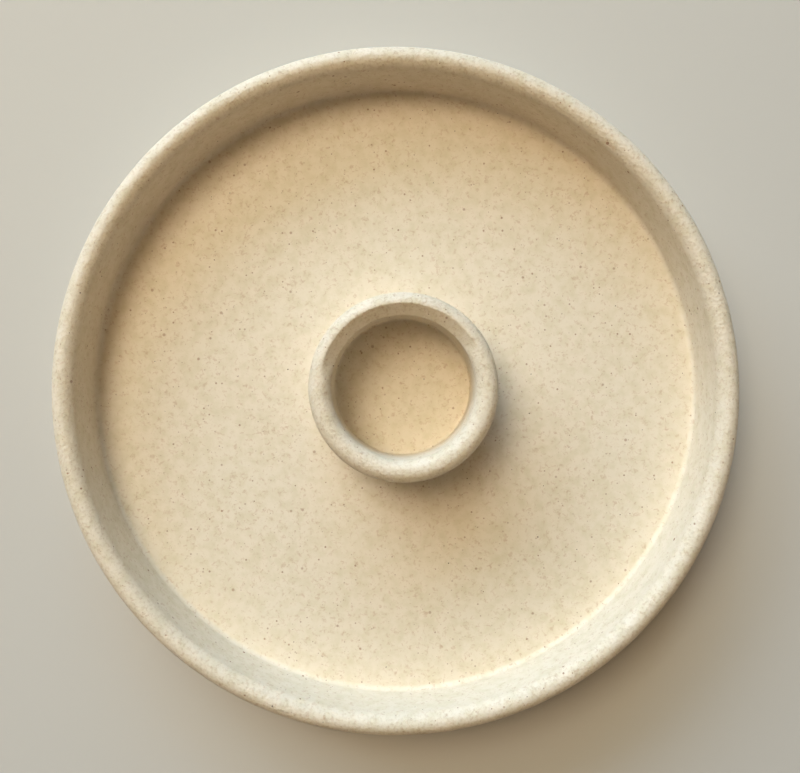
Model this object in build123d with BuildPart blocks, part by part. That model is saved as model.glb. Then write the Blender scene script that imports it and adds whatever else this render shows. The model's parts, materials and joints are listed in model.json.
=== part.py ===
"""Speckled stoneware candle dish: a shallow round tray with a small candle cup in its middle.

The dish and the cup's collar are two pieces of clay, bonded with a ring of slip and fired under
one coat of satin-matt glaze. The collar cuts the coat in two on the floor, so the coat is made
as three skins: over the dish, over the collar, and on the round floor inside the collar.

Millimetres, +Z up. The origin is the centre of the foot ring, on the surface the dish stands on.
"""

from build123d import *
from math import cos, radians, sin
import os

# ---- Driving dimensions, of the finished, glazed surface ----
OUTER_DIAMETER = 200.0
RIM_HEIGHT = 28.0
TRAY_DEPTH = 20.5
WALL_THICKNESS = 6.6
GLAZE = 0.45

CUP_HEIGHT = 26.0
CUP_BORE_DIAMETER = 41.4
CUP_WALL_THICKNESS = 6.6
CUP_OFFSET = (2.0, 1.3)

# ---- Smaller features ----
TRAY_CORNER_RADIUS = 1.5
HEEL_RADIUS = 6.5
FOOT_DIAMETER = 166.0
FOOT_WIDTH = 6.0
FOOT_HEIGHT = 1.8
FOOT_EDGE_RADIUS = 0.7
GLAZE_LINE_HEIGHT = 5.0
SLIP_THICKNESS = 0.6
SLIP_BEAD = 1.4
CUP_COVE_RADIUS = 2.5
WELL_COVE_RADIUS = 0.8
CUP_LIP_RADIUS = 2.9
CUP_CREST_RADIUS = 1.0
CUP_BEVEL_ANGLE = 40.0
BORE_EDGE_RADIUS = 0.9

# ---- Worked out from them ----
OUTER_RADIUS = OUTER_DIAMETER / 2
INNER_RADIUS = OUTER_RADIUS - WALL_THICKNESS
TRAY_FLOOR = RIM_HEIGHT - TRAY_DEPTH
CLAY_FLOOR = TRAY_FLOOR - GLAZE
FOOT_OUTER = FOOT_DIAMETER / 2
FOOT_INNER = FOOT_OUTER - FOOT_WIDTH

CUP_INNER = CUP_BORE_DIAMETER / 2
CUP_OUTER = CUP_INNER + CUP_WALL_THICKNESS
CUP_TOP = TRAY_FLOOR + CUP_HEIGHT
COLLAR_INNER = CUP_INNER + GLAZE
COLLAR_OUTER = CUP_OUTER - GLAZE
COLLAR_FOOT = CLAY_FLOOR + SLIP_THICKNESS
COVE_EDGE = CUP_OUTER + CUP_COVE_RADIUS
WELL_RADIUS = CUP_INNER - WELL_COVE_RADIUS

# The cup's lip: a round outer edge, a crest, a bevel down towards the bore, and the bore's edge
LIP_LEVEL = CUP_TOP - CUP_LIP_RADIUS
CREST_RADIUS = CUP_OUTER - CUP_LIP_RADIUS
BEVEL_DROP = radians(CUP_BEVEL_ANGLE)
BEVEL_RUN = CREST_RADIUS - CUP_INNER - BORE_EDGE_RADIUS
BEVEL_FALL = (BEVEL_RUN * sin(BEVEL_DROP) + BORE_EDGE_RADIUS - CUP_CREST_RADIUS) / cos(BEVEL_DROP)
BORE_TOP = CUP_TOP - CUP_CREST_RADIUS - BEVEL_FALL

# The cup's own axis, and the upright plane through it that its sections are drawn on
CUP_AXIS = Axis((CUP_OFFSET[0], CUP_OFFSET[1], 0), (0, 0, 1))
CUP_PLANE = Plane(origin=(CUP_OFFSET[0], CUP_OFFSET[1], 0), x_dir=(1, 0, 0), z_dir=(0, -1, 0))


def dish_outline(coat):
    """Half section of the dish, right of its axis, under a coat of this thickness."""
    outer = OUTER_RADIUS - GLAZE + coat
    inner = INNER_RADIUS + GLAZE - coat
    floor = CLAY_FLOOR + coat
    underside = FOOT_HEIGHT - coat
    lip_level = RIM_HEIGHT - WALL_THICKNESS / 2
    with BuildLine() as outline:
        Line((0, floor), (inner - TRAY_CORNER_RADIUS, floor))
        JernArc((inner - TRAY_CORNER_RADIUS, floor), (1, 0), TRAY_CORNER_RADIUS, 90)
        Line((inner, floor + TRAY_CORNER_RADIUS), (inner, lip_level))
        JernArc((inner, lip_level), (0, 1), (outer - inner) / 2, -180)
        Line((outer, lip_level), (outer, underside + HEEL_RADIUS))
        JernArc((outer, underside + HEEL_RADIUS), (0, -1), HEEL_RADIUS, -90)
        Line((outer - HEEL_RADIUS, underside), (0, underside))
        Line((0, underside), (0, floor))
    return outline.edges()


def cup_lip(coat):
    """Section of the cup's lip under a coat of this thickness, from the bore to the outside."""
    inset = GLAZE - coat
    crest = CUP_CREST_RADIUS - inset
    bevel_top = (
        CREST_RADIUS - crest * sin(BEVEL_DROP),
        CUP_TOP - CUP_CREST_RADIUS + crest * cos(BEVEL_DROP),
    )
    with BuildLine() as outline:
        edge = JernArc(
            (CUP_INNER + inset, BORE_TOP),
            (0, 1),
            BORE_EDGE_RADIUS - inset,
            CUP_BEVEL_ANGLE - 90,
        )
        bevel = Line(edge @ 1, bevel_top)
        top = JernArc(bevel @ 1, bevel % 1, crest, -CUP_BEVEL_ANGLE)
        JernArc(top @ 1, (1, 0), CUP_LIP_RADIUS - inset, -90)
    return outline.edges()


def collar_outline():
    """Section of the bare clay collar, right of its own axis, standing on its slip."""
    with BuildLine() as outline:
        Line((COLLAR_INNER, COLLAR_FOOT), (COLLAR_INNER, BORE_TOP))
        add(cup_lip(0))
        Line((COLLAR_OUTER, LIP_LEVEL), (COLLAR_OUTER, COLLAR_FOOT))
        Line((COLLAR_OUTER, COLLAR_FOOT), (COLLAR_INNER, COLLAR_FOOT))
    return outline.edges()


def slip_outline():
    """Section of the slip: a thin bed under the collar and a bead pressed round its foot."""
    with BuildLine() as outline:
        Polyline(
            (COLLAR_INNER, CLAY_FLOOR),
            (COLLAR_INNER, COLLAR_FOOT),
            (COLLAR_OUTER, COLLAR_FOOT),
            (COLLAR_OUTER, CLAY_FLOOR + SLIP_BEAD),
            (COLLAR_OUTER + SLIP_BEAD, CLAY_FLOOR),
            close=True,
        )
    return outline.edges()


def glazed_cup_outline():
    """Section of the finished cup, right of its own axis: lip, bore, and a cove each side."""
    with BuildLine() as outline:
        Line((WELL_RADIUS, CLAY_FLOOR), (WELL_RADIUS, TRAY_FLOOR))
        JernArc((WELL_RADIUS, TRAY_FLOOR), (1, 0), WELL_COVE_RADIUS, 90)
        Line((CUP_INNER, TRAY_FLOOR + WELL_COVE_RADIUS), (CUP_INNER, BORE_TOP))
        add(cup_lip(GLAZE))
        Line((CUP_OUTER, LIP_LEVEL), (CUP_OUTER, TRAY_FLOOR + CUP_COVE_RADIUS))
        JernArc((CUP_OUTER, TRAY_FLOOR + CUP_COVE_RADIUS), (0, -1), CUP_COVE_RADIUS, 90)
        Line((COVE_EDGE, TRAY_FLOOR), (COVE_EDGE, CLAY_FLOOR))
        Line((COVE_EDGE, CLAY_FLOOR), (WELL_RADIUS, CLAY_FLOOR))
    return outline.edges()


# ---- Dish: floor, upright wall and full-round lip, with a trimmed foot ring under it ----
with BuildPart() as dish_body:
    with BuildSketch(Plane.XZ):
        make_face(dish_outline(0))
    revolve(axis=Axis.Z)
    with BuildSketch(Plane.XY):
        Circle(FOOT_OUTER)
        Circle(FOOT_INNER, mode=Mode.SUBTRACT)
    extrude(amount=FOOT_HEIGHT)
    foot_edges = dish_body.edges().filter_by(GeomType.CIRCLE).group_by(Axis.Z)[0]
    fillet(foot_edges, FOOT_EDGE_RADIUS)

# ---- Slip that bonds the collar to the dish ----
with BuildPart() as luting_slip:
    with BuildSketch(CUP_PLANE):
        make_face(slip_outline())
    revolve(axis=CUP_AXIS)

# ---- Collar: the candle cup's open ring of clay, a little off the dish's axis ----
with BuildPart() as candle_cup:
    with BuildSketch(CUP_PLANE):
        make_face(collar_outline())
    revolve(axis=CUP_AXIS)

# ---- Glaze over the dish: outside, lip, inner wall and tray floor, wiped off round the foot ----
with BuildPart() as dish_glaze:
    with BuildSketch(Plane.XZ):
        make_face(dish_outline(GLAZE))
        make_face(dish_outline(0), mode=Mode.SUBTRACT)
        with Locations((0, GLAZE_LINE_HEIGHT)):
            Rectangle(
                OUTER_DIAMETER,
                GLAZE_LINE_HEIGHT,
                align=(Align.MIN, Align.MAX),
                mode=Mode.SUBTRACT,
            )
    revolve(axis=Axis.Z)
    with BuildSketch(Plane.XY.offset(CLAY_FLOOR)):
        with Locations(CUP_OFFSET):
            Circle(COVE_EDGE)
    extrude(amount=GLAZE, mode=Mode.SUBTRACT)

# ---- Glaze over the collar: outside, over the lip, down the bore, with a cove at either foot ----
with BuildPart() as cup_glaze:
    with BuildSketch(CUP_PLANE):
        make_face(glazed_cup_outline())
        make_face(collar_outline(), mode=Mode.SUBTRACT)
        make_face(slip_outline(), mode=Mode.SUBTRACT)
    revolve(axis=CUP_AXIS)

# ---- Glaze on the round floor inside the collar, where the candle stands ----
with BuildPart() as well_glaze:
    with BuildSketch(Plane.XY.offset(CLAY_FLOOR)):
        with Locations(CUP_OFFSET):
            Circle(WELL_RADIUS)
    extrude(amount=GLAZE)

pieces = {
    "dish_body": dish_body,
    "luting_slip": luting_slip,
    "candle_cup": candle_cup,
    "dish_glaze": dish_glaze,
    "cup_glaze": cup_glaze,
    "well_glaze": well_glaze,
}

os.makedirs("parts", exist_ok=True)
for label, piece in pieces.items():
    piece.part.label = label
    export_step(piece.part, f"parts/{label}.step")
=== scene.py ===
"""Speckled stoneware candle dish: finished surfaces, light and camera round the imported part.

A potter threw the dish, stood a small collar in it for a tea light, bonded the collar down with
slip, and fired the whole under one coat of satin-matt cream glaze with iron speckle in it. The
script makes each of those pieces as its own closed mesh, a little out of true as hand-made ware
is, and dresses it in the fired material it is made of. Everything is in metres.
"""

import json
import logging
import math
from dataclasses import dataclass, field, replace
from enum import Enum

import bmesh
import bpy
from bpy.types import Material, Node, NodeSocket, NodeTree, Object
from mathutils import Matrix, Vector, noise

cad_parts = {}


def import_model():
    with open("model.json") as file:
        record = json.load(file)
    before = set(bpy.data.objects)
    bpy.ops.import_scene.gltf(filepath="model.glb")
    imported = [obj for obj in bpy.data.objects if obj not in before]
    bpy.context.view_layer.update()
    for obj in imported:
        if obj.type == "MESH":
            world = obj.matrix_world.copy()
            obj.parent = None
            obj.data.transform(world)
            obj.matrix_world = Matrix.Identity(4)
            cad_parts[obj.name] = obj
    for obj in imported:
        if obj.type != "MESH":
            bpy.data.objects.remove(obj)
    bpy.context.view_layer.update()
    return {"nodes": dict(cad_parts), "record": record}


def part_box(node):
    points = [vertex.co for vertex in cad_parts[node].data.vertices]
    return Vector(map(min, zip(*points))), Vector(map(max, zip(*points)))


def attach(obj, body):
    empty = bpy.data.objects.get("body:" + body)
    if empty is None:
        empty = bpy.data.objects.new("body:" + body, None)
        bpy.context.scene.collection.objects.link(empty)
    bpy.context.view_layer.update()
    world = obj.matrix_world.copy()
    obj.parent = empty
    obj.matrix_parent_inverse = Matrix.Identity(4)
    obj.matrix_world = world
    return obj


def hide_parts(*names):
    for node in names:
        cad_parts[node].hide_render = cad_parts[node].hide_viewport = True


LOG = logging.getLogger("candle_dish")
MM = 0.001
SAME_PLACE = 0.001 * MM
BODY = "root"
# Marks the coat near the lip's crest: thin glaze, and painted shade in its colour
THIN = "thin"
OPEN = "open"
TONE = "tone"
TIMES = {"operation": "MULTIPLY"}
TINT = {"data_type": "RGBA"}

# From a pattern's value at which a change begins and ends, to how much it gives at each
Ramp = tuple[float, float, float, float]
RAMP_SOCKETS = ("Value", "From Min", "From Max", "To Min", "To Max")
CLOUD_SOCKETS = ("Vector", "Scale", "Detail", "Roughness", "Distortion")


def show(name: str, data: bpy.types.ID) -> Object:
    """Makes an object of this data and puts it in the scene."""
    thing = bpy.data.objects.new(name, data)
    bpy.context.scene.collection.objects.link(thing)
    return thing


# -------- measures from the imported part


@dataclass(frozen=True)
class Measures:
    """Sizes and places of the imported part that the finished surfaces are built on, in metres."""

    dish_radius: float
    clay_radius: float
    rim_height: float
    floor_height: float
    clay_floor: float
    glaze_line: float
    foot_mid_radius: float
    cup_axis: tuple[float, float]
    bore_radius: float
    bore_foot: float
    bore_top: float
    well_radius: float
    collar_outer: float
    collar_foot: float
    cove_edge: float
    cup_top: float

    @property
    def glaze(self) -> float:
        """Thickness of the fired coat."""
        return self.floor_height - self.clay_floor

    @property
    def cup_outer(self) -> float:
        """Outer radius of the finished cup wall."""
        return self.collar_outer + self.glaze

    @classmethod
    def read(cls, record: dict) -> "Measures":
        """Reads the sizes from the frame's boxes and mounts.

        Args:
            record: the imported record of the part.

        Returns:
            The measures of the finished dish.
        """
        mounts = {mount["name"]: mount for mount in record["mounts"]}
        dish_low, dish_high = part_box("dish_glaze")
        well_low, well_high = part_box("well_glaze")
        collar_low, collar_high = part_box("candle_cup")
        cup_low, cup_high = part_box("cup_glaze")
        axis = ((well_low.x + well_high.x) / 2, (well_low.y + well_high.y) / 2)
        bore = mounts["cup_bore"]
        bore_middle, half_bore = bore["pos_m"][2], bore["dims"]["length_mm"] * MM / 2
        return cls(
            dish_radius=dish_high.x,
            clay_radius=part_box("dish_body")[1].x,
            rim_height=dish_high.z,
            floor_height=well_high.z,
            clay_floor=well_low.z,
            glaze_line=dish_low.z,
            foot_mid_radius=mounts["foot"]["pos_m"][0],
            cup_axis=axis,
            bore_radius=bore["dims"]["r_mm"] * MM,
            bore_foot=bore_middle - half_bore,
            bore_top=bore_middle + half_bore,
            well_radius=(well_high.x - well_low.x) / 2,
            collar_outer=(collar_high.x - collar_low.x) / 2,
            collar_foot=collar_low.z,
            cove_edge=(cup_high.x - cup_low.x) / 2,
            cup_top=cup_high.z,
        )


def smooth(value: float, low: float, high: float) -> float:
    """Eases from 0 at low to 1 at high.

    Args:
        value: the number to ease.
        low: where the ease begins.
        high: where it ends.

    Returns:
        A share from 0 to 1 with no kink at either end.
    """
    share = min(1.0, max(0.0, (value - low) / (high - low)))
    return share * share * (3.0 - 2.0 * share)


def swell(angle: float, lobes: int, phase: float) -> float:
    """A slow wave round a circle, from 0 to 1, with this many lobes, turned by the phase."""
    return 0.5 + 0.5 * math.cos(lobes * angle - phase)


@dataclass(frozen=True)
class PotterHand:
    """How far the thrown and fired ware is out of true. Every piece is bent by the same rule.

    All of it takes size away, with a little to spare for the iron grains that stand proud of the
    glaze, so nothing grows out of the part's box.
    """

    measures: Measures
    oval: float = 0.26 * MM
    three_lobe: float = 0.12 * MM
    rim_dip: float = 0.24 * MM
    floor_dish: float = 0.10 * MM
    cup_lean: tuple[float, float] = (0.35 * MM, -0.30 * MM)
    cup_flare: float = 0.40 * MM
    cup_close: float = 0.34 * MM
    cup_reach: float = 31.0 * MM
    cup_fade: float = 62.0 * MM
    spare: float = 0.08 * MM
    thumb_bearing: float = math.radians(97.0)
    thumb_ends: tuple[float, float] = (0.2, 0.5)
    oval_turn: float = 0.8
    lobe_turn: float = 2.1
    dip_turns: tuple[float, float] = (4.0, 1.0)
    dip_shares: tuple[float, float] = (0.6, 0.4)
    floor_turns: tuple[float, float] = (2.6, 1.2)
    floor_waves: float = 4.0
    floor_from: float = 0.6
    cup_from: float = 0.8

    def left_round(self, bearing: float) -> float:
        """How far the inside of the cup's lip was left round, not bevelled by the thumb.

        Args:
            bearing: direction from the cup's axis, in radians.

        Returns:
            1 where it is fully round, 0 where it is bevelled.
        """
        return 1.0 - smooth(math.cos(bearing - self.thumb_bearing), *self.thumb_ends)

    def bend(self, x: float, y: float, z: float) -> tuple[float, float, float]:
        """Moves one point of the true shape to where the potter left it.

        Args:
            x: place along X.
            y: place along Y.
            z: height above the table.

        Returns:
            The moved point.
        """
        m = self.measures
        radius = math.hypot(x, y)
        angle = math.atan2(y, x)
        rise = smooth(z, m.floor_height, m.rim_height)
        out = radius / m.dish_radius
        inset = self.oval * swell(angle, 2, self.oval_turn)
        inset += self.three_lobe * swell(angle, 3, self.lobe_turn)
        inset = out * (inset + self.spare)
        shrink = 1.0 - inset / max(radius, MM)
        bent_x, bent_y = x * shrink, y * shrink
        near_wall = smooth(radius, self.cup_fade, m.dish_radius)
        wave = self.dip_shares[0] * swell(angle, 2, self.dip_turns[0])
        wave += self.dip_shares[1] * swell(angle, 5, self.dip_turns[1])
        dip = self.rim_dip * rise * near_wall * wave
        level = smooth(z, self.floor_from * m.clay_floor, m.clay_floor)
        settle = self.floor_dish * level * (1.0 - rise)
        wave = swell(angle, 1, self.floor_turns[0])
        wave += swell(self.floor_waves * out, 1, self.floor_turns[1])
        dip += settle * out * wave / 2.0
        from_x, from_y = x - m.cup_axis[0], y - m.cup_axis[1]
        reach = math.hypot(from_x, from_y)
        cup = 1.0 - smooth(reach, self.cup_reach, self.cup_fade)
        climb = min(1.0, max(0.0, (z - m.floor_height) / (m.cup_top - m.floor_height)))
        above = smooth(z, self.cup_from * m.clay_floor, m.clay_floor)
        flare = cup * above * (self.cup_flare - (self.cup_flare + self.cup_close) * climb)
        flare *= smooth(reach, 0.0, m.bore_radius)
        dip += self.spare * (rise * near_wall + climb * cup)
        grow = flare / max(reach, MM)
        bent_x += from_x * grow + self.cup_lean[0] * climb * cup
        bent_y += from_y * grow + self.cup_lean[1] * climb * cup
        return bent_x, bent_y, z - dip


# -------- turning shapes on the wheel


@dataclass(frozen=True)
class Station:
    """One ring of a turned surface.

    Attributes:
        radius: radius of the ring.
        height: height above the table.
        to_cup: where the ring is centred, from 0 on the dish's axis to 1 on the cup's.
        lift: how much higher the ring lies where the cup's lip was left round.
    """

    radius: float
    height: float
    to_cup: float = 0.0
    lift: float = 0.0


@dataclass
class Template:
    """A potter's template: the outline that a turned surface follows, from point to point."""

    to_cup: float = 0.0
    stations: list[Station] = field(default_factory=list)

    def start(self, radius: float, height: float) -> None:
        """Puts the first point down."""
        self.stations.append(Station(radius, height, self.to_cup))

    def line(self, radius: float, height: float, steps: int = 1) -> None:
        """Draws a straight run to a point.

        Args:
            radius: radius of the end point.
            height: height of the end point.
            steps: how many rings the run is cut into.
        """
        last = self.stations[-1]
        for step in range(1, steps + 1):
            share = step / steps
            across = last.radius + (radius - last.radius) * share
            up = last.height + (height - last.height) * share
            self.stations.append(Station(across, up, self.to_cup))

    def arc(
        self, radius: float, height: float, size: float, begin: float, end: float, steps: int
    ) -> None:
        """Draws a circular arc.

        Args:
            radius: radius at which the arc's centre lies.
            height: height at which it lies.
            size: radius of the arc itself.
            begin: direction of its first point, in degrees from straight out, turning up.
            end: direction of its last point.
            steps: how many rings the arc is cut into.
        """
        for step in range(steps + 1):
            turn = math.radians(begin + (end - begin) * step / steps)
            across, up = radius + size * math.cos(turn), height + size * math.sin(turn)
            last = self.stations[-1]
            if math.dist((across, up), (last.radius, last.height)) > SAME_PLACE:
                self.stations.append(Station(across, up, self.to_cup))


class Ends(Enum):
    """How a turned surface is closed."""

    LOOP = "the last ring joins the first, as on a skin with an inside and an outside"
    POLES = "each end runs to a point on the axis"


@dataclass(frozen=True)
class Skin:
    """How a coat of glaze lies: a little uneven, and thin near the crest of the lip, where painted
    shade also goes into its colour.

    Attributes:
        face: which rings are the visible face of the coat.
        crest: height of the lip's crest, or of nothing where the coat has no lip.
        lip_depth: how far below the crest the coat is marked thin; the same mark places painted
            shade in its colour.
        sag: how far hollows sink where the coat is on a wall.
        floor_sag: how far they sink where it lies level.
        wave: size of the hollows.
        edge_rings: how many rings the hollows take to fade in from either edge.
        flatness: power of the upward lean that tells a level from a wall.
    """

    face: range
    crest: float
    lip_depth: float = 5.5 * MM
    sag: float = 0.11 * MM
    floor_sag: float = 0.03 * MM
    wave: float = 6.5 * MM
    edge_rings: float = 4.0
    flatness: int = 8

    def settle(self, shape: bmesh.types.BMesh, rings: list[list[bmesh.types.BMVert]]) -> None:
        """Sinks the hollows, and marks the open face of the coat and where it is thin, the mark
        that also places painted shade near the lip.

        Args:
            shape: the mesh, its normals already outwards.
            rings: its points, ring by ring.
        """
        shape.normal_update()
        thin, bare = shape.verts.layers.float[THIN], shape.verts.layers.float[OPEN]
        last = len(self.face) - 1
        for place, ring in enumerate(rings[self.face.start : self.face.stop]):
            hold = smooth(min(place, last - place), 0.0, self.edge_rings)
            for point in ring:
                level = abs(point.normal.z) ** self.flatness
                sag = self.sag + (self.floor_sag - self.sag) * level
                hollow = 0.5 + 0.5 * noise.noise(point.co / self.wave)
                # Near the crest: thin glaze, and where the colour takes painted shade
                point[thin] = smooth(point.co.z, self.crest - self.lip_depth, self.crest)
                point[bare] = 1.0
                point.co -= point.normal * (sag * hollow * hold)


@dataclass(frozen=True)
class Wheel:
    """Turns a list of rings into a mesh, bent by the potter's hand."""

    measures: Measures
    hand: PotterHand
    segments: int = 384
    crease: float = math.radians(48.0)

    def ring(self, station: Station) -> list[Vector]:
        """Places the points of one ring."""
        centre_x = self.measures.cup_axis[0] * station.to_cup
        centre_y = self.measures.cup_axis[1] * station.to_cup
        points = []
        for step in range(self.segments):
            turn = math.tau * step / self.segments
            x = centre_x + station.radius * math.cos(turn)
            y = centre_y + station.radius * math.sin(turn)
            z = station.height + station.lift * self.hand.left_round(turn)
            points.append(Vector(self.hand.bend(x, y, z)))
        return points

    def throw(
        self,
        name: str,
        stations: list[Station],
        ends: Ends,
        finish: Material,
        skin: Skin | None = None,
    ) -> Object:
        """Makes the mesh of a turned piece.

        Args:
            name: name of the piece.
            stations: its rings, in order along the outline.
            ends: how the surface is closed.
            finish: its material.
            skin: how the visible face of a coat of glaze lies, if it is one.

        Returns:
            The new object, with smooth faces and sharp creases, normals outwards.
        """
        shape = bmesh.new()
        for mark in (THIN, OPEN):
            shape.verts.layers.float.new(mark)
        rings = [[shape.verts.new(point) for point in self.ring(one)] for one in stations]
        pairs = list(zip(rings, rings[1:]))
        if ends is Ends.LOOP:
            pairs.append((rings[-1], rings[0]))
        steps = [(step, (step + 1) % self.segments) for step in range(self.segments)]
        for lower, upper in pairs:
            for step, after in steps:
                shape.faces.new((lower[step], lower[after], upper[after], upper[step]))
        if ends is Ends.POLES:
            for ring, station in ((rings[0], stations[0]), (rings[-1], stations[-1])):
                centre = [share * station.to_cup for share in self.measures.cup_axis]
                pole = shape.verts.new(self.hand.bend(centre[0], centre[1], station.height))
                for step, after in steps:
                    shape.faces.new((ring[step], ring[after], pole))
        bmesh.ops.recalc_face_normals(shape, faces=shape.faces)
        if skin:
            skin.settle(shape, rings)
        mesh = bpy.data.meshes.new(name)
        shape.to_mesh(mesh)
        shape.free()
        mesh.shade_smooth()
        mesh.set_sharp_from_angle(angle=self.crease)
        mesh.materials.append(finish)
        return show(name, mesh)


# -------- materials


def linear(hex_code: str) -> tuple[float, float, float, float]:
    """Turns an sRGB hex colour into linear light.

    Args:
        hex_code: six hex digits.

    Returns:
        Linear red, green, blue and an alpha of 1.
    """
    parts = []
    for start in (0, 2, 4):
        share = int(hex_code[start : start + 2], 16) / 255.0
        parts.append(share / 12.92 if share <= 0.04045 else ((share + 0.055) / 1.055) ** 2.4)
    return (*parts, 1.0)


def feed(tree: NodeTree, node: Node, inputs: dict) -> None:
    """Sets or links what goes into a node.

    Args:
        tree: the node tree it is in.
        node: the node.
        inputs: by socket name or number: a value, the output socket that feeds it, or a node,
            whose first live output feeds it.
    """
    for name, value in inputs.items():
        if isinstance(value, Node):
            value = next(output for output in value.outputs if output.enabled)
        if isinstance(value, NodeSocket):
            tree.links.new(value, node.inputs[name])
        else:
            node.inputs[name].default_value = value


def add_node(tree: NodeTree, kind: str, settings: dict, inputs: dict) -> Node:
    """Adds one node with its settings and what feeds it.

    Args:
        tree: the node tree it goes in.
        kind: the node's type name.
        settings: properties of the node by name.
        inputs: what feeds its sockets, as feed takes it.

    Returns:
        The new node.
    """
    node = tree.nodes.new(kind)
    for name, value in settings.items():
        setattr(node, name, value)
    feed(tree, node, inputs)
    return node


def new_material(name: str) -> tuple[Material, NodeTree, Node]:
    """Starts a material with nothing but its shader.

    Args:
        name: name of the material.

    Returns:
        The material, its node tree, and its shader node.
    """
    material = bpy.data.materials.new(name)
    material.use_nodes = True
    tree = material.node_tree
    return material, tree, tree.nodes["Principled BSDF"]


@dataclass(frozen=True)
class SpeckleLayer:
    """One size of iron speck: a grain of iron ore that has bled into the glaze as it melted.

    Attributes:
        spacing: average distance between the cells that may hold a speck.
        share: how many of the cells hold one.
        radius: radius of a large speck in this layer.
        strength: how far the speck covers the glaze, from 0 to 1.
        shift: moves the pattern, so that layers don't line up.
        least: size and strength of the faintest speck, as a share of the largest.
        core: share of a speck's radius that is evenly dark; the rest bleeds out.
    """

    spacing: float
    share: float
    radius: float
    strength: float
    shift: float
    least: float = 0.35
    core: float = 0.55

    def cover(self, tree: NodeTree, place: NodeSocket) -> Node:
        """Builds the layer's cover.

        Args:
            tree: the node tree of the material.
            place: the point on the piece.

        Returns:
            The node that says how far specks cover the glaze, from 0 to the layer's strength.
        """
        moved = add_node(
            tree, "ShaderNodeVectorMath", {"operation": "ADD"}, {0: place, 1: (self.shift,) * 3}
        )
        grid = {"Vector": moved, "Scale": 1.0 / self.spacing, "Randomness": 1.0}
        cells = add_node(tree, "ShaderNodeTexVoronoi", {"feature": "F1"}, grid)
        dice = add_node(tree, "ShaderNodeSeparateColor", {}, {0: cells.outputs["Color"]})
        holds = add_node(
            tree, "ShaderNodeMath", {"operation": "LESS_THAN"}, {0: dice.outputs[0], 1: self.share}
        )
        size, depth = (
            add_node(
                tree,
                "ShaderNodeMapRange",
                {},
                {"Value": dice.outputs[die], "To Min": self.least * most, "To Max": most},
            )
            for die, most in ((1, self.radius / self.spacing), (2, self.strength))
        )
        core = add_node(tree, "ShaderNodeMath", TIMES, {0: size, 1: self.core})
        bleed = {"Value": cells.outputs["Distance"], "From Min": size, "From Max": core}
        blot = add_node(tree, "ShaderNodeMapRange", {"interpolation_type": "SMOOTHSTEP"}, bleed)
        kept = add_node(tree, "ShaderNodeMath", TIMES, {0: blot, 1: holds})
        return add_node(tree, "ShaderNodeMath", TIMES, {0: kept, 1: depth})


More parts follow.
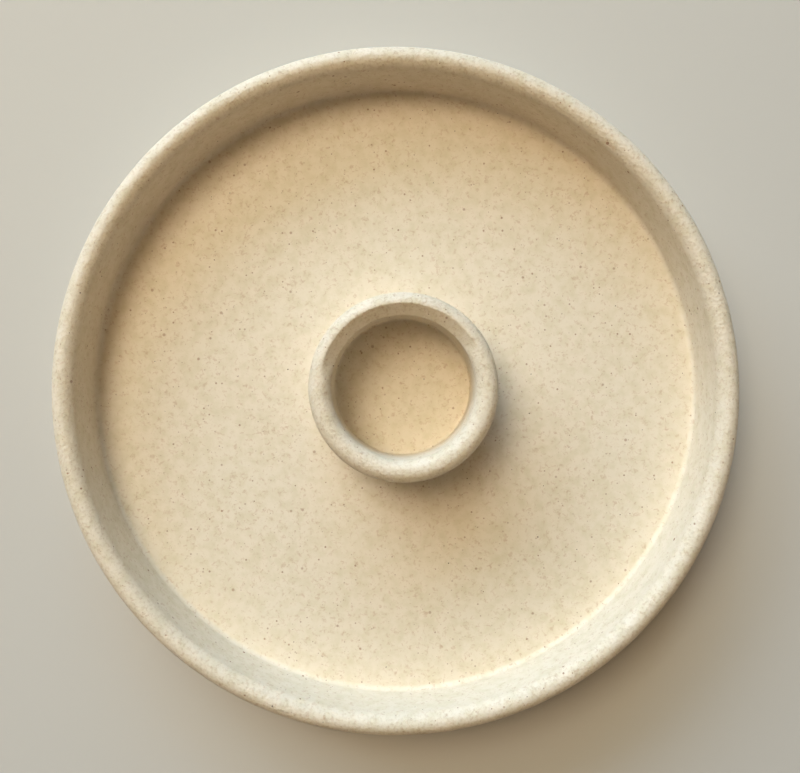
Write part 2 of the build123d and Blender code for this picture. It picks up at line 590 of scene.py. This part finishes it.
@dataclass(frozen=True)
class SpeckledMattGlaze:
    """Satin-matt cream glaze over an iron-bearing stoneware body, fired in a kiln.

    The eye sees a warm cream that drifts slightly from pinkish to greenish, dusted with tiny
    brown iron specks and greyish wisps, and a dry satin surface with a sandy tooth. Near the
    crest of the lips, fine buff grains darken the colour: partly the buff body showing through
    where the coat drew back as it melted, partly painted shade of the rough, rounded lip.
    """

    name: str = "speckled_matt_glaze"
    cream: str = "E3DAC9"
    blush: str = "E5D7C4"
    moss: str = "D8CDB4"
    wisp: str = "B89474"
    # Buff of the grains near the lip's crest: partly the body under thin glaze, partly painted
    # shade
    sand: str = "A98B66"
    iron: str = "844816"
    ior: float = 1.52
    drift_size: float = 18.0 * MM
    mottle_size: float = 3.2 * MM
    wisp_size: float = 1.15 * MM
    break_up: float = 0.58
    # The sand in the surface is nearer 0.3 mm; it is drawn coarser, so that it shows
    tooth_size: float = 0.85 * MM
    tooth_height: float = 0.24 * MM
    pit_share: float = 0.3
    mossy: Ramp = (0.40, 0.75, 0.0, 0.9)
    wispy: Ramp = (0.55, 0.76, 0.0, 0.56)
    # How far the buff grains show near the crest: partly thin glaze, partly painted shade
    sandy: Ramp = (0.50, 0.72, 0.04, 0.68)
    bite: Ramp = (0.0, 1.0, 0.14, 1.0)
    roughness: Ramp = (0.3, 0.7, 0.51, 0.62)
    layers: tuple[SpeckleLayer, ...] = (
        SpeckleLayer(1.15 * MM, 0.20, 0.30 * MM, 0.66, 0.0),
        SpeckleLayer(1.9 * MM, 0.16, 0.44 * MM, 0.82, 3.1 * MM),
        SpeckleLayer(3.6 * MM, 0.16, 0.64 * MM, 0.94, 7.7 * MM),
    )

    def build(self) -> Material:
        """Builds the material.

        Returns:
            The finished material.
        """
        material, tree, shader = new_material(self.name)
        place = add_node(tree, "ShaderNodeTexCoord", {}, {}).outputs["Object"]
        thin = add_node(tree, "ShaderNodeAttribute", {"attribute_name": THIN}, {}).outputs["Fac"]
        drift, mottle, wisps, tooth = (
            add_node(
                tree,
                "ShaderNodeTexNoise",
                {},
                dict(zip(CLOUD_SOCKETS, (place, 1.0 / size, detail, self.break_up, stir))),
            )
            for size, detail, stir in (
                (self.drift_size, 3.0, 0.0),
                (self.mottle_size, 2.0, 0.0),
                (self.wisp_size, 3.0, 0.8),
                (self.tooth_size, 2.0, 0.0),
            )
        )
        # How far the coat turns green, shows wisps, shows buff grains (partly clay, partly painted
        # shade), feels sandy, and how rough it is
        cool, streak, grain, bite, gloss = (
            add_node(tree, "ShaderNodeMapRange", {}, dict(zip(RAMP_SOCKETS, (value, *ramp))))
            for value, ramp in (
                (mottle, self.mossy),
                (wisps, self.wispy),
                (tooth, self.sandy),
                (thin, self.bite),
                (mottle, self.roughness),
            )
        )
        # Buff grains near the lip's crest: partly the body under thin glaze, partly painted shade
        drawn = add_node(tree, "ShaderNodeMath", TIMES, {0: thin, 1: mottle})
        bare = add_node(tree, "ShaderNodeMath", TIMES, {0: grain, 1: drawn})
        cover = self.layers[0].cover(tree, place)
        for layer in self.layers[1:]:
            more = layer.cover(tree, place)
            cover = add_node(tree, "ShaderNodeMath", {"operation": "MAXIMUM"}, {0: cover, 1: more})
        colour: Node | tuple = linear(self.cream)
        for share, tint in (
            (drift, self.blush),
            (cool, self.moss),
            (streak, self.wisp),
            # The buff grains on the lip: partly the body under thin glaze, partly painted shade
            (bare, self.sand),
            (cover, self.iron),
        ):
            colour = add_node(tree, "ShaderNodeMix", TINT, {0: share, 6: colour, 7: linear(tint)})
        sand = add_node(tree, "ShaderNodeMath", TIMES, {0: tooth, 1: bite})
        pits = add_node(tree, "ShaderNodeMath", TIMES, {0: cover, 1: self.pit_share})
        relief = add_node(tree, "ShaderNodeMath", {"operation": "SUBTRACT"}, {0: sand, 1: pits})
        bumps = {"Height": relief, "Strength": 1.0, "Distance": self.tooth_height}
        bump = add_node(tree, "ShaderNodeBump", {}, bumps)
        look = {"Base Color": colour, "Roughness": gloss, "Normal": bump, "IOR": self.ior}
        feed(tree, shader, look)
        return material


@dataclass(frozen=True)
class IronGrain:
    """A grain of iron that boiled up through the glaze and froze: dark, brown and half glossy."""

    name: str = "boiled_iron_grain"
    dark: str = "3E2817"
    rust: str = "7A4C28"
    roughness: float = 0.42
    ior: float = 1.6

    def build(self) -> Material:
        """Builds the material."""
        material, tree, shader = new_material(self.name)
        tone = add_node(tree, "ShaderNodeAttribute", {"attribute_name": TONE}, {}).outputs["Fac"]
        tints = {0: tone, 6: linear(self.dark), 7: linear(self.rust)}
        colour = add_node(tree, "ShaderNodeMix", TINT, tints)
        feed(tree, shader, {"Base Color": colour, "Roughness": self.roughness, "IOR": self.ior})
        return material


@dataclass(frozen=True)
class BareStoneware:
    """Iron-bearing stoneware clay, fired without glaze where the potter wiped the foot clean.

    The eye sees a dry, toasted buff, darker where the turning tool dragged, with grog and iron
    grains in it.
    """

    name: str = "bare_stoneware"
    buff: str = "C09A72"
    toast: str = "A87F58"
    iron: str = "4A2E1C"
    roughness: float = 0.88
    toast_size: float = 22.0 * MM
    grog_size: float = 0.7 * MM
    grog_height: float = 0.084 * MM
    break_up: float = 0.62
    grains: SpeckleLayer = SpeckleLayer(2.0 * MM, 0.6, 0.34 * MM, 0.85, 1.7 * MM)

    def build(self) -> Material:
        """Builds the material.

        Returns:
            The finished material.
        """
        material, tree, shader = new_material(self.name)
        place = add_node(tree, "ShaderNodeTexCoord", {}, {}).outputs["Object"]
        toasted, grog = (
            add_node(
                tree,
                "ShaderNodeTexNoise",
                {},
                dict(zip(CLOUD_SOCKETS, (place, 1.0 / size, detail, self.break_up))),
            )
            for size, detail in ((self.toast_size, 4.0), (self.grog_size, 3.0))
        )
        colour: Node | tuple = linear(self.buff)
        grains = self.grains.cover(tree, place)
        for share, tint in ((toasted, self.toast), (grains, self.iron)):
            colour = add_node(tree, "ShaderNodeMix", TINT, {0: share, 6: colour, 7: linear(tint)})
        bumps = {"Height": grog, "Strength": 1.0, "Distance": self.grog_height}
        bump = add_node(tree, "ShaderNodeBump", {}, bumps)
        feed(tree, shader, {"Base Color": colour, "Roughness": self.roughness, "Normal": bump})
        return material


@dataclass(frozen=True)
class PlainPaper:
    """The pale paper sweep that the dish is shown on: flat, matt and even."""

    name: str = "pale_paper"
    tone: str = "C6C3BE"
    roughness: float = 0.95

    def build(self) -> Material:
        """Builds the material."""
        material, tree, shader = new_material(self.name)
        feed(tree, shader, {"Base Color": linear(self.tone), "Roughness": self.roughness})
        return material


# -------- the dish


@dataclass(frozen=True)
class Dish:
    """The thrown tray: a clay body with a trimmed foot, and the glaze coat over it."""

    wheel: Wheel
    wall: float = 6.6 * MM
    corner: float = 1.5 * MM
    heel: float = 6.5 * MM
    foot_width: float = 6.0 * MM
    foot_height: float = 1.8 * MM
    foot_edge: float = 0.7 * MM
    groove_depth: float = 0.10 * MM
    groove_pitch: float = 2.2 * MM
    groove_rings: int = 4
    finger_ridge: float = 0.07 * MM
    finger_pitch: float = 5.6 * MM
    finger_turn: float = 0.4
    pole: float = 0.5 * MM
    floor_rings: int = 6

    def heel_arc(self, coat: float) -> tuple[float, float, float]:
        """Where the heel's arc is centred under a coat, and where on it the glaze line lies."""
        m = self.wheel.measures
        level = self.foot_height - coat + self.heel
        begin = math.degrees(math.asin((m.glaze_line - level) / self.heel))
        return m.clay_radius + coat - self.heel, level, begin

    def upper_surface(self, coat: float, fine: int) -> Template:
        """Draws the outline from the glaze line, up the outside, over the lip to the tray floor.

        Args:
            coat: thickness of glaze on the clay, 0 for the clay itself.
            fine: how finely the outline is cut; 1 is coarse.

        Returns:
            The outline, ending where the tray floor begins.
        """
        m = self.wheel.measures
        outer = m.clay_radius + coat
        thickness = self.wall - 2.0 * (m.glaze - coat)
        inner = outer - thickness
        floor = m.clay_floor + coat
        lip = thickness / 2.0
        lip_level = m.rim_height - self.wall / 2.0
        heel_radius, heel_level, begin = self.heel_arc(coat)
        template = Template()
        template.start(heel_radius + self.heel * math.cos(math.radians(begin)), m.glaze_line)
        template.arc(heel_radius, heel_level, self.heel, begin, 0.0, 3 * fine)
        self.ridged_wall(template, outer, heel_level, lip_level, 8 * fine)
        template.arc(inner + lip, lip_level, lip, 0.0, 180.0, 8 * fine)
        template.line(inner, floor + self.corner, 4 * fine)
        template.arc(inner - self.corner, floor + self.corner, self.corner, 0.0, -90.0, 4 * fine)
        return template

    def ridged_wall(
        self, template: Template, radius: float, low: float, high: float, steps: int
    ) -> None:
        """Draws an upright wall with the faint ridges that fingers leave on the wheel.

        Args:
            template: the outline being drawn.
            radius: radius of the wall.
            low: height where it starts.
            high: height where it ends.
            steps: how many rings it is cut into.
        """
        for step in range(1, steps + 1):
            share = step / steps
            height = low + (high - low) * share
            fade = math.sin(math.pi * share)
            wave = swell(math.tau * height / self.finger_pitch, 1, self.finger_turn)
            template.line(radius - self.finger_ridge * fade * wave, height)

    def tray_floor(
        self, template: Template, edge: float, level: float, steps: int
    ) -> list[Station]:
        """Carries an outline on across the tray floor to the edge of the cup's cove.

        Args:
            template: the outline so far.
            edge: radius of the cove's edge, round the cup's own axis.
            level: height of the floor.
            steps: how many rings the floor is cut into.

        Returns:
            Every station, the last ones easing from the dish's axis to the cup's.
        """
        start = template.stations[-1].radius
        rings = list(template.stations)
        for step in range(1, steps + 1):
            share = step / steps
            rings.append(Station(start + (edge - start) * share, level, share))
        return rings

    def coat_surface(self, fine: int = 3, floor_steps: int = 26) -> list[Station]:
        """Lists the rings of the coat's visible face."""
        m = self.wheel.measures
        top = self.upper_surface(m.glaze, fine)
        return self.tray_floor(top, m.cove_edge, m.floor_height, floor_steps)

    def throw_coat(self, glaze: Material) -> Object:
        """Makes the glaze coat on the dish as a closed skin.

        Args:
            glaze: the fired glaze.

        Returns:
            The coat, riding on the root body for the dish's glaze node.
        """
        m = self.wheel.measures
        face = self.coat_surface()
        back = self.tray_floor(self.upper_surface(0.0, 2), m.cove_edge, m.clay_floor, 8)
        skin = Skin(range(len(face)), m.rim_height)
        coat = self.wheel.throw("dish_glaze_coat", face + back[::-1], Ends.LOOP, glaze, skin)
        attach(coat, BODY)
        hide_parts("dish_glaze")
        return coat

    def underside(self, template: Template) -> None:
        """Draws the underside from the heel to the middle: the trimmed shoulder, foot and base."""
        m = self.wheel.measures
        foot_outer = m.foot_mid_radius + self.foot_width / 2.0
        foot_inner = m.foot_mid_radius - self.foot_width / 2.0
        edge = self.foot_edge
        template.line(foot_outer, self.foot_height, 8)
        template.line(foot_outer, edge, 2)
        template.arc(foot_outer - edge, edge, edge, 0.0, -90.0, 4)
        template.line(foot_inner + edge, 0.0, 2)
        template.arc(foot_inner + edge, edge, edge, -90.0, -180.0, 4)
        template.line(foot_inner, self.foot_height, 2)
        steps = round((foot_inner - self.pole) / (self.groove_pitch / self.groove_rings))
        for step in range(1, steps + 1):
            radius = foot_inner + (self.pole - foot_inner) * step / steps
            turn = math.tau * radius / self.groove_pitch
            fade = smooth(foot_inner - radius, 0.0, 2.0 * self.groove_pitch)
            groove = self.groove_depth * fade * swell(turn, 1, 0.0)
            template.line(radius, self.foot_height + groove)

    def throw_clay(self, clay: Material) -> Object:
        """Makes the clay body of the dish as a closed solid.

        Args:
            clay: the bare fired clay.

        Returns:
            The body, riding on the root body for the dish's clay node.
        """
        m = self.wheel.measures
        top = self.upper_surface(0.0, 2)
        across = [
            Station(top.stations[-1].radius * (1.0 - step / self.floor_rings), m.clay_floor)
            for step in range(1, self.floor_rings)
        ]
        bottom = Template()
        heel_radius, heel_level, begin = self.heel_arc(0.0)
        bottom.start(top.stations[0].radius, top.stations[0].height)
        bottom.arc(heel_radius, heel_level, self.heel, begin, -90.0, 10)
        self.underside(bottom)
        rings = bottom.stations[:0:-1] + top.stations + across
        body = self.wheel.throw("dish_clay", rings, Ends.POLES, clay)
        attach(body, BODY)
        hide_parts("dish_body")
        return body


@dataclass(frozen=True)
class CandleCup:
    """The collar that holds the tea light, its glaze, and the glaze on the floor inside it."""

    wheel: Wheel
    lip: float = 2.9 * MM
    crest: float = 1.0 * MM
    bevel: float = 40.0
    bore_edge: float = 0.9 * MM
    cove_run_out: float = 0.3 * MM
    slip_bead: float = 1.4 * MM
    well_rings: int = 16

    def wall_outline(self, coat: float, outer_foot: float, inner_foot: float) -> Template:
        """Draws the collar from its outer foot, up and over the lip, down to its inner foot.

        The lip is round outside, and bevelled inside where the potter pressed a thumb round it.

        Args:
            coat: thickness of glaze on the clay, 0 for the clay itself.
            outer_foot: height at which the outside starts.
            inner_foot: height at which the bore ends.

        Returns:
            The outline.
        """
        m = self.wheel.measures
        inset = m.glaze - coat
        crest_radius = m.cup_outer - self.lip
        edge_radius = m.bore_radius + self.bore_edge
        top = 90.0 + self.bevel
        template = Template(to_cup=1.0)
        template.start(m.cup_outer - inset, outer_foot)
        template.line(m.cup_outer - inset, m.cup_top - self.lip, 10)
        template.arc(crest_radius, m.cup_top - self.lip, self.lip - inset, 0.0, 90.0, 14)
        above = len(template.stations)
        template.arc(crest_radius, m.cup_top - self.crest, self.crest - inset, 90.0, top, 6)
        edge = self.bore_edge - inset
        tilt = math.radians(top)
        template.line(edge_radius + edge * math.cos(tilt), m.bore_top + edge * math.sin(tilt), 8)
        template.arc(edge_radius, m.bore_top, edge, top, 180.0, 8)
        bevelled = template.stations[above:]
        template.stations[above:] = [self.rounded(one, inset) for one in bevelled]
        template.line(m.bore_radius + inset, inner_foot, 14)
        return template

    def rounded(self, station: Station, inset: float) -> Station:
        """Says how much higher a ring of the bevel lies where the lip is fully round.

        Args:
            station: the ring on the bevelled lip.
            inset: how far it lies under the finished surface.

        Returns:
            The same ring with its lift.
        """
        m = self.wheel.measures
        half = (m.cup_outer - m.bore_radius) / 2.0
        across = station.radius - m.bore_radius - half
        round_height = m.cup_top - half + math.sqrt(max(0.0, (half - inset) ** 2 - across**2))
        return replace(station, lift=max(0.0, round_height - station.height))

    def coat_surface(self) -> list[Station]:
        """Lists the rings of the coat's visible face, from the outer cove's edge to the well."""
        m = self.wheel.measures
        size = m.cove_edge - m.cup_outer - self.cove_run_out
        foot = Template(to_cup=1.0)
        foot.start(m.cove_edge, m.floor_height)
        foot.arc(m.cup_outer + size, m.floor_height + size, size, -90.0, -180.0, 10)
        wall = self.wall_outline(m.glaze, m.floor_height + size, m.bore_foot)
        inner = m.bore_radius - m.well_radius
        wall.arc(m.well_radius, m.bore_foot, inner, 0.0, -90.0, 6)
        return foot.stations + wall.stations[1:]

    def throw_coat(self, glaze: Material) -> Object:
        """Makes the glaze coat on the collar as a closed skin.

        Args:
            glaze: the fired glaze.

        Returns:
            The coat, riding on the root body for the cup's glaze node.
        """
        m = self.wheel.measures
        inside = self.wall_outline(0.0, m.clay_floor + self.slip_bead, m.clay_floor)
        inside.line(m.well_radius, m.clay_floor)
        bead = Template(to_cup=1.0)
        bead.start(m.cove_edge, m.clay_floor)
        bead.line(m.collar_outer + self.slip_bead, m.clay_floor)
        back = bead.stations + inside.stations
        face = self.coat_surface()
        skin = Skin(range(len(face)), m.cup_top)
        coat = self.wheel.throw("cup_glaze_coat", face + back[::-1], Ends.LOOP, glaze, skin)
        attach(coat, BODY)
        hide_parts("cup_glaze")
        return coat

    def throw_clay(self, clay: Material) -> Object:
        """Makes the collar's clay ring as a closed solid.

        Args:
            clay: the bare fired clay.

        Returns:
            The collar, riding on the root body for the collar's node.
        """
        m = self.wheel.measures
        outline = self.wall_outline(0.0, m.collar_foot, m.collar_foot)
        collar = self.wheel.throw("collar_clay", outline.stations, Ends.LOOP, clay)
        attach(collar, BODY)
        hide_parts("candle_cup")
        return collar

    def well_surface(self) -> list[Station]:
        """Lists the rings of the round floor inside the cup, from its rim to the middle."""
        m = self.wheel.measures
        return [
            Station(m.well_radius * (1.0 - step / self.well_rings), m.floor_height, 1.0)
            for step in range(self.well_rings)
        ]

    def pour_well(self, glaze: Material) -> Object:
        """Makes the disc of glaze on the floor inside the cup as a closed solid.

        Args:
            glaze: the fired glaze.

        Returns:
            The disc, riding on the root body for the well's glaze node.
        """
        m = self.wheel.measures
        face = self.well_surface()
        back = [Station(one.radius, m.clay_floor, 1.0) for one in face[::4]]
        # The disc has no lip, so the crest is put out of its reach
        skin = Skin(range(len(face)), 2.0 * m.cup_top)
        well = self.wheel.throw("well_glaze_disc", face[::-1] + back, Ends.POLES, glaze, skin)
        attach(well, BODY)
        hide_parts("well_glaze")
        return well


@dataclass(frozen=True)
class IronSpots:
    """The largest grains of iron: flattened domes that stand a little proud of the glaze."""

    per_square_metre: float = 4200.0
    smallest: float = 0.08 * MM
    largest: float = 0.27 * MM
    rise: float = 0.28
    few_large: float = 2.2
    slimmest: float = 0.6
    whole_face: float = 0.99
    seed: int = 17

    def grow(self) -> NodeTree:
        """Builds the node tree that scatters the grains.

        Returns:
            The tree, with its sizes as named inputs.
        """
        tree = bpy.data.node_groups.new("iron_spots", "GeometryNodeTree")
        sockets = (
            ("Coat", "Geometry"),
            ("Per square metre", "Float"),
            ("Smallest radius", "Float"),
            ("Largest radius", "Float"),
            ("Rise", "Float"),
            ("Seed", "Int"),
            ("Finish", "Material"),
        )
        for name, kind in sockets:
            tree.interface.new_socket(name, in_out="INPUT", socket_type="NodeSocket" + kind)
        tree.interface.new_socket("Grains", in_out="OUTPUT", socket_type="NodeSocketGeometry")
        given = add_node(tree, "NodeGroupInput", {}, {}).outputs
        number = {"data_type": "FLOAT"}
        face = add_node(tree, "GeometryNodeInputNamedAttribute", number, {"Name": OPEN})
        limit = {0: face, 1: self.whole_face}
        shown = add_node(tree, "ShaderNodeMath", {"operation": "GREATER_THAN"}, limit)
        sown = {"Mesh": given["Coat"], "Selection": shown, "Seed": given["Seed"]}
        sown["Density"] = given["Per square metre"]
        spots = add_node(tree, "GeometryNodeDistributePointsOnFaces", {}, sown)
        dice = []
        for stream in (1, 2, 3, 4):
            seeds = {0: given["Seed"], 1: stream}
            seed = add_node(tree, "ShaderNodeMath", {"operation": "ADD"}, seeds)
            dice.append(add_node(tree, "FunctionNodeRandomValue", number, {"Seed": seed}))
        large, slim, way, tone = dice
        grain = add_node(tree, "GeometryNodeMeshIcoSphere", {}, {"Radius": 1.0, "Subdivisions": 1})
        dome = add_node(tree, "GeometryNodeSetShadeSmooth", {}, {"Geometry": grain})
        power = {0: large, 1: self.few_large}
        few_large = add_node(tree, "ShaderNodeMath", {"operation": "POWER"}, power)
        radii = {"To Min": given["Smallest radius"], "To Max": given["Largest radius"]}
        size = add_node(tree, "ShaderNodeMapRange", {}, {"Value": few_large, **radii})
        narrow = {"Value": slim, "To Min": self.slimmest}
        squash = add_node(tree, "ShaderNodeMapRange", {}, narrow)
        width = add_node(tree, "ShaderNodeMath", TIMES, {0: size, 1: squash})
        height = add_node(tree, "ShaderNodeMath", TIMES, {0: size, 1: given["Rise"]})
        scale = add_node(tree, "ShaderNodeCombineXYZ", {}, {0: size, 1: width, 2: height})
        laid = {"Points": spots, "Instance": dome, "Scale": scale}
        laid["Rotation"] = spots.outputs["Rotation"]
        placed = add_node(tree, "GeometryNodeInstanceOnPoints", {}, laid)
        angle = add_node(tree, "ShaderNodeMath", TIMES, {0: way, 1: math.tau})
        turn = add_node(tree, "ShaderNodeCombineXYZ", {}, {2: angle})
        spun = {"Instances": placed, "Rotation": turn, "Local Space": True}
        turned = add_node(tree, "GeometryNodeRotateInstances", {}, spun)
        per_grain = {**number, "domain": "INSTANCE"}
        mark = {"Geometry": turned, "Name": TONE, "Value": tone}
        toned = add_node(tree, "GeometryNodeStoreNamedAttribute", per_grain, mark)
        made = add_node(tree, "GeometryNodeRealizeInstances", {}, {"Geometry": toned})
        finish = {"Geometry": made, "Material": given["Finish"]}
        dressed = add_node(tree, "GeometryNodeSetMaterial", {}, finish)
        add_node(tree, "NodeGroupOutput", {}, {"Grains": dressed})
        return tree

    def scatter(self, coat: Object, node: str, tree: NodeTree, iron: Material) -> Object:
        """Scatters grains over the open face of a coat.

        Args:
            coat: the coat of glaze.
            node: the part's node that the coat stands for.
            tree: the node tree that scatters them.
            iron: the grains' material.

        Returns:
            The grains as one plain mesh.
        """
        grains = show(coat.name + "_iron", coat.data)
        spread = grains.modifiers.new("iron_spots", "NODES")
        spread.node_group = tree
        values = {
            "Per square metre": self.per_square_metre,
            "Smallest radius": self.smallest,
            "Largest radius": self.largest,
            "Rise": self.rise,
            "Seed": self.seed,
            "Finish": iron,
        }
        for socket in tree.interface.items_tree:
            if socket.name in values:
                spread[socket.identifier] = values[socket.name]
        bpy.context.view_layer.update()
        done = grains.evaluated_get(bpy.context.evaluated_depsgraph_get())
        mesh = bpy.data.meshes.new_from_object(done)
        grains.modifiers.clear()
        grains.data = mesh
        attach(grains, BODY)
        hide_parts(node)
        return grains


# -------- studio


@dataclass(frozen=True)
class Softbox:
    """One soft light, far enough away to light the whole dish evenly.

    Attributes:
        name: name of the light.
        bearing: compass direction it shines from, in degrees from +X towards +Y.
        height: its angle above the table, in degrees.
        spread: how wide it looks from the dish, in degrees.
        colour: linear colour of its light.
        strength: light it throws on a surface that faces it, in watts per square metre.
        distance: how far it hangs from the dish.
    """

    name: str
    bearing: float
    height: float
    spread: float
    colour: tuple[float, float, float]
    strength: float
    distance: float = 9.0

    def hang(self) -> None:
        """Hangs the light and points it at the dish."""
        lamp = bpy.data.lights.new(self.name, "AREA")
        lamp.shape = "DISK"
        lamp.size = 2.0 * self.distance * math.tan(math.radians(self.spread) / 2.0)
        lamp.color = self.colour
        lamp.energy = self.strength * math.pi * self.distance**2
        holder = show(self.name, lamp)
        turn, tilt = math.radians(self.bearing), math.radians(self.height)
        direction = Vector(
            (math.cos(turn) * math.cos(tilt), math.sin(turn) * math.cos(tilt), math.sin(tilt))
        )
        holder.location = direction * self.distance
        holder.rotation_euler = direction.to_track_quat("Z", "Y").to_euler()
        holder.visible_camera = False


@dataclass(frozen=True)
class Studio:
    """The table, the lights and the camera over the dish."""

    measures: Measures
    paper: PlainPaper = PlainPaper()
    table_radius: float = 0.9
    table_sides: int = 96
    lens_width: float = 36.0
    focal_in_widths: float = 1.0025
    camera_over_rim: float = 229.5 * MM
    nearest: float = 10.0 * MM
    camera_place: tuple[float, float] = (1.34 * MM, 1.34 * MM)
    backdrop: float = 0.62
    backdrop_tone: str = "E8E2DA"
    lights: tuple[Softbox, ...] = (
        Softbox("window_left", 90.0, 24.0, 26.0, (0.29, 0.64, 1.0), 0.837),
        Softbox("window", 112.5, 24.0, 26.0, (0.64, 0.81, 1.0), 1.408),
        Softbox("window_right", 135.0, 24.0, 26.0, (0.70, 0.86, 1.0), 1.289),
        Softbox("window_high", 112.5, 48.0, 26.0, (0.86, 1.0, 0.83), 0.475, 1.6),
        Softbox("warm_key", 135.0, 63.0, 26.0, (1.0, 0.83, 0.59), 1.48, 1.1),
        Softbox("warm_top", 125.0, 77.0, 26.0, (1.0, 0.71, 0.38), 0.50, 1.1),
        Softbox("warm_wall", 0.0, 35.0, 40.0, (1.0, 0.93, 0.75), 0.20),
        Softbox("warm_bounce", 292.0, 30.0, 40.0, (1.0, 0.60, 0.30), 0.20),
    )

    def lay_table(self) -> None:
        """Lays the round sheet of pale paper that the dish stands on."""
        sides = range(self.table_sides)
        turns = [math.tau * side / self.table_sides for side in sides]
        edge = [
            (self.table_radius * math.cos(turn), self.table_radius * math.sin(turn), 0.0)
            for turn in turns
        ]
        mesh = bpy.data.meshes.new("paper")
        mesh.from_pydata(edge, [], [tuple(sides)])
        mesh.materials.append(self.paper.build())
        table = show("paper", mesh)

    def light_room(self) -> None:
        """Hangs the softboxes, and puts a pale backdrop round them that throws no light itself."""
        world = bpy.data.worlds.new("backdrop")
        world.use_nodes = True
        pale = {"Color": linear(self.backdrop_tone), "Strength": self.backdrop}
        feed(world.node_tree, world.node_tree.nodes["Background"], pale)
        bpy.context.scene.world = world
        world.cycles_visibility.diffuse = False
        world.cycles_visibility.glossy = False
        for box in self.lights:
            box.hang()

    def place_camera(self) -> None:
        """Hangs the camera straight above the dish, looking down."""
        lens = bpy.data.cameras.new("camera")
        lens.sensor_width = self.lens_width
        lens.lens = self.lens_width * self.focal_in_widths
        lens.clip_start = self.nearest
        holder = show("camera", lens)
        height = self.measures.rim_height + self.camera_over_rim
        holder.location = (*self.camera_place, height)
        bpy.context.scene.camera = holder


# -------- making it


def main() -> None:
    """Makes every piece in the order that a potter would, then sets the table and the light."""
    logging.basicConfig(level=logging.INFO, format="%(name)s: %(message)s")
    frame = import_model()
    measures = Measures.read(frame["record"])
    wheel = Wheel(measures, PotterHand(measures))
    clay = BareStoneware().build()
    glaze = SpeckledMattGlaze().build()
    dish = Dish(wheel)
    cup = CandleCup(wheel)
    slip = frame["nodes"]["luting_slip"]
    slip.data.materials.clear()
    slip.data.materials.append(clay)
    coats = {
        "dish_glaze": dish.throw_coat(glaze),
        "cup_glaze": cup.throw_coat(glaze),
        "well_glaze": cup.pour_well(glaze),
    }
    spots = IronSpots()
    tree = spots.grow()
    iron = IronGrain().build()
    pieces = [dish.throw_clay(clay), cup.throw_clay(clay), slip, *coats.values()]
    pieces += [spots.scatter(coat, node, tree, iron) for node, coat in coats.items()]
    for piece in pieces:
        LOG.info("%s: %d faces", piece.name, len(piece.data.polygons))
    studio = Studio(measures)
    studio.lay_table()
    studio.light_room()
    studio.place_camera()
    bpy.context.scene.view_settings.view_transform = "Standard"


if __name__ == "__main__":
    main()
